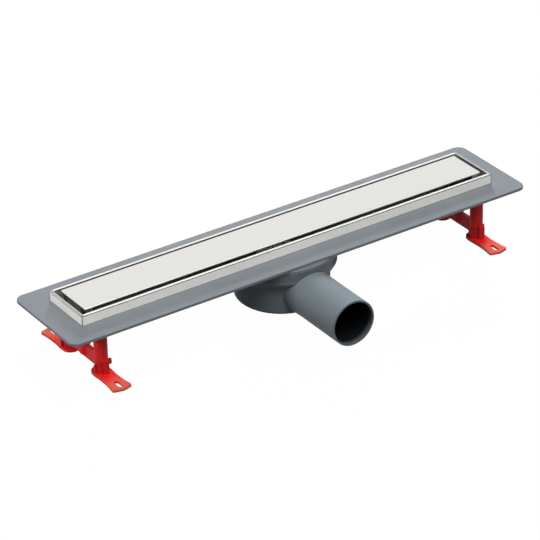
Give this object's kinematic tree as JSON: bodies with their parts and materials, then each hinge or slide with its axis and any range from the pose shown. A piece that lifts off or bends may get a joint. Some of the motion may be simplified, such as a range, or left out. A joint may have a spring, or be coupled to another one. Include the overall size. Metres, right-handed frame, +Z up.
{
  "type": "linear shower drain",
  "caption": "Linear shower drain with a flat stainless cover in a raised frame, a plastic channel with a water trap and side outlet, and red levelling feet.",
  "frame": {"origin": "centre of the mounting flange's top face, midway along and across the channel", "axes": "+X along the channel's length, -Y towards the outlet pipe, +Z up through the cover"},
  "size_m": [0.5566, 0.2067, 0.073],
  "materials": {
    "channel_plastic": "satin moulded plastic",
    "stainless_frame": "satin",
    "stainless_cover": "fine brushed",
    "stainless_support": "mill",
    "screw_steel": "plain",
    "insert_plastic": "satin moulded plastic",
    "black_rubber": "matt",
    "red_plastic": "satin moulded plastic"
  },
  "bodies": {
    "drain": {"channel_body": "channel_plastic", "trap_gasket": "black_rubber", "trap_cup": "channel_plastic", "frame": "stainless_frame", "frame_screws": "screw_steel", "cover_plate": "stainless_cover", "cover_support_left": "stainless_support", "cover_support_right": "stainless_support", "trap_insert": "insert_plastic", "insert_seal": "black_rubber", "immersion_tube": "insert_plastic", "hair_strainer": "stainless_support", "foot_bracket_left": "red_plastic", "foot_bracket_right": "red_plastic", "bracket_screws": "screw_steel"},
    "foot_left_front": {"foot_left_front": "red_plastic"},
    "foot_left_rear": {"foot_left_rear": "red_plastic"},
    "foot_right_front": {"foot_right_front": "red_plastic"},
    "foot_right_rear": {"foot_right_rear": "red_plastic"}
  },
  "joints": [
    {"name": "foot_left_front_height", "type": "slide", "parent": "drain", "child": "foot_left_front", "axis": [0, 0, -1], "range_m": [0, 0.02]},
    {"name": "foot_left_rear_height", "type": "slide", "parent": "drain", "child": "foot_left_rear", "axis": [0, 0, -1], "range_m": [0, 0.02]},
    {"name": "foot_right_front_height", "type": "slide", "parent": "drain", "child": "foot_right_front", "axis": [0, 0, -1], "range_m": [0, 0.02]},
    {"name": "foot_right_rear_height", "type": "slide", "parent": "drain", "child": "foot_right_rear", "axis": [0, 0, -1], "range_m": [0, 0.02]}
  ]
}
